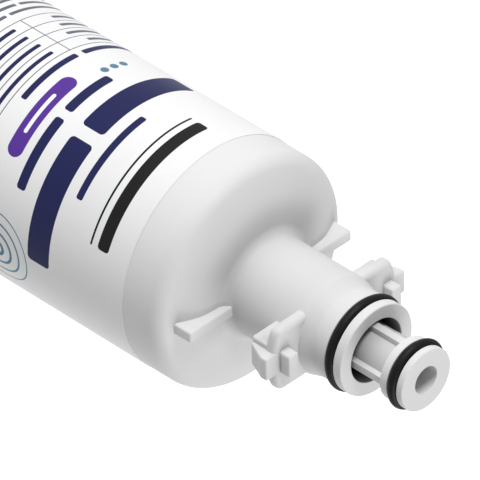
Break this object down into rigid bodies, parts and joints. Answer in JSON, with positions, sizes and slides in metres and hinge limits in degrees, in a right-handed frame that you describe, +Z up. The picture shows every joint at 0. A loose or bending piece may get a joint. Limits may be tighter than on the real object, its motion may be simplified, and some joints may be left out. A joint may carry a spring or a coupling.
{
  "type": "fridge water filter cartridge",
  "caption": "Round white quarter-turn water filter cartridge with a stepped sealed neck, bayonet lugs, a ribbed outlet spigot, a wrapped label and a carbon block inside.",
  "frame": {"origin": "centre of the foot ring, at the bottom of the closed end", "axes": "+Z up the cartridge's axis towards the spigot, lugs on +X and -X, middle of the printed side towards -Y"},
  "size_m": [0.0623, 0.0623, 0.235],
  "materials": {
    "white_moulding": "smooth satin injection-moulded polypropylene",
    "spigot_moulding": "smooth satin injection-moulded polypropylene",
    "black_seal": "smooth moulded seal rubber with a thin film of grease",
    "label_film": "white printed polypropylene film",
    "pressed_carbon": "porous pressed carbon bound with plastic",
    "fleece": "soft nonwoven fleece",
    "net": "extruded plastic net",
    "end_cap_plastic": "plain moulded plastic"
  },
  "bodies": {
    "root": {"housing": "white_moulding", "bottom_cap": "white_moulding", "label": "label_film", "outlet_end_cap": "spigot_moulding", "blind_end_cap": "end_cap_plastic", "carbon_block": "pressed_carbon", "prefilter_wrap": "fleece", "netting_sleeve": "net", "neck_o_ring": "black_seal", "spigot_o_ring": "black_seal"}
  },
  "joints": []
}
